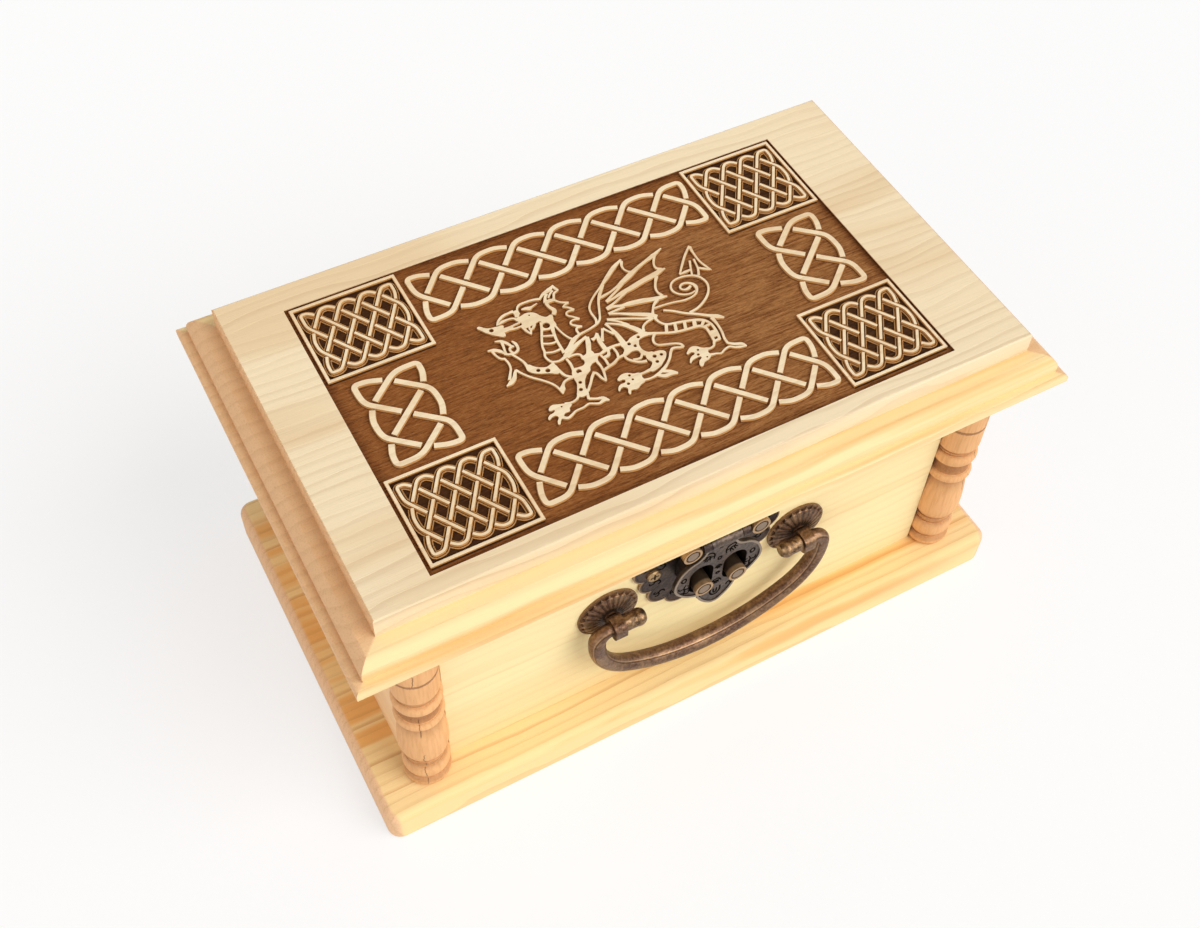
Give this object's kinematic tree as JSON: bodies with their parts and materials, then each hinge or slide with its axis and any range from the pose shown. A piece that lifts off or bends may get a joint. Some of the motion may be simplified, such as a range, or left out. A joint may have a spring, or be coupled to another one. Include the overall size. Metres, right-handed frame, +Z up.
{
  "type": "keepsake box",
  "caption": "Wooden keepsake box with turned corner columns, a hinged lid carrying an engraved panel, a drop handle and a hasp on the front.",
  "frame": {"origin": "on the floor, under the middle of the box", "axes": "+Z up; the front, with hasp and handle, faces -Y; +X along the box's length, to the right when seen from the front"},
  "size_m": [0.307, 0.185, 0.1545],
  "materials": {
    "panel_wood": "pale, lightly sanded",
    "lid_board_wood": "bare pine, routed",
    "wall_wood": "bare pine",
    "base_wood": "bare pine, rounded edges",
    "turned_wood": "turned, bare",
    "dark_bronze": "darkened bronze, worn on the edges",
    "worn_brass": "bronze rubbed bright on the high parts",
    "hinge_bronze": "darkened bronze"
  },
  "bodies": {
    "box": {"base_board": "base_wood", "front_wall": "wall_wood", "back_wall": "wall_wood", "left_end_wall": "wall_wood", "right_end_wall": "wall_wood", "front_left_column": "turned_wood", "front_right_column": "turned_wood", "back_left_column": "turned_wood", "back_right_column": "turned_wood", "hasp_backplate": "dark_bronze", "hasp_backplate_screws": "worn_brass", "handle_rosette_left": "dark_bronze", "handle_rosette_right": "dark_bronze", "handle_post_left": "dark_bronze", "handle_post_right": "dark_bronze", "hinge_body_leaf_left": "hinge_bronze", "hinge_body_leaf_right": "hinge_bronze", "hinge_body_screws": "hinge_bronze", "hinge_pins": "hinge_bronze"},
    "lid": {"lid_board": "lid_board_wood", "lid_top_panel": "panel_wood", "lid_front_rail": "wall_wood", "lid_back_rail": "wall_wood", "lid_left_rail": "wall_wood", "lid_right_rail": "wall_wood", "lid_front_left_column": "turned_wood", "lid_front_right_column": "turned_wood", "lid_back_left_column": "turned_wood", "lid_back_right_column": "turned_wood", "hasp_lid_plate": "dark_bronze", "hasp_lid_plate_screws": "worn_brass", "hasp_upper_posts": "worn_brass", "hasp_pin": "dark_bronze", "hinge_lid_leaf_left": "hinge_bronze", "hinge_lid_leaf_right": "hinge_bronze", "hinge_lid_screws": "hinge_bronze"},
    "hasp_flap": {"hasp_flap": "dark_bronze", "hasp_flap_knobs": "worn_brass"},
    "handle": {"bail_handle": "dark_bronze", "bail_ball_nuts": "worn_brass"}
  },
  "joints": [
    {"name": "lid_hinge", "type": "hinge", "parent": "box", "child": "lid", "pos_m": [0, 0.0818, 0.102], "axis": [-1, 0, 0], "range_deg": [0, 105]},
    {"name": "hasp_flap_hinge", "type": "hinge", "parent": "lid", "child": "hasp_flap", "pos_m": [0, -0.0828, 0.113], "axis": [-1, 0, 0], "range_deg": [0, 130]},
    {"name": "handle_swing", "type": "hinge", "parent": "box", "child": "handle", "pos_m": [0, -0.0799, 0.0768], "axis": [-1, 0, 0], "range_deg": [-4, 140]}
  ]
}
